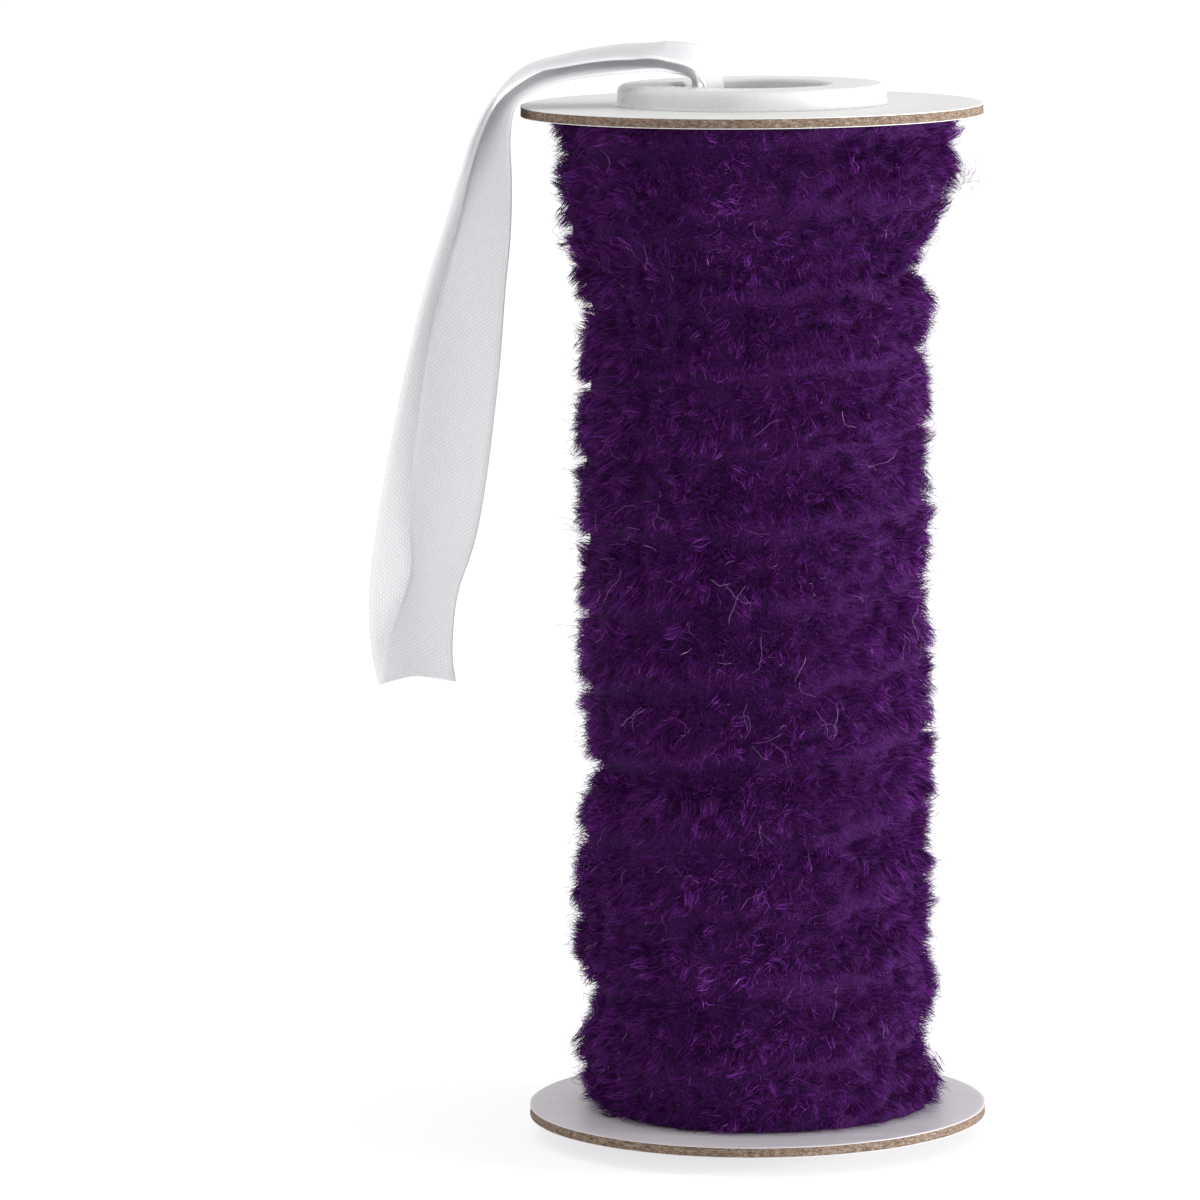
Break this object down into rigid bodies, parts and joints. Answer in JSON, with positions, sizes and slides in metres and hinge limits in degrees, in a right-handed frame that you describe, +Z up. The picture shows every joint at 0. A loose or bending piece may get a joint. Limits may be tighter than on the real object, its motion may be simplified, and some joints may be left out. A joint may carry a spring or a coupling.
{
  "type": "wired yarn trim on a spool",
  "caption": "Fuzzy purple wired yarn wound on an upright spool with card flanges and open plastic hubs, and a white satin ribbon loop through the hub.",
  "frame": {"origin": "centre of the whole part's footprint box, on the surface it stands on; the spool's own axis stands 11.7 mm towards +X from it, because the ribbon loop hangs out towards -X", "axes": "+Z up along the spool's axis, -Y towards the viewer, -X towards the ribbon loop"},
  "size_m": [0.0923, 0.0688, 0.1652],
  "materials": {
    "card": "white paper faces on grey-brown board, bare at the edge",
    "hub": "white moulded plastic, half gloss",
    "pile": "dense cut purple pile",
    "satin": "white satin weave"
  },
  "bodies": {
    "root": {"flange_bottom": "card", "flange_top": "card", "hub_bottom": "hub", "hub_top": "hub", "ribbon_loop": "satin", "wound_trim": "pile"}
  },
  "joints": []
}
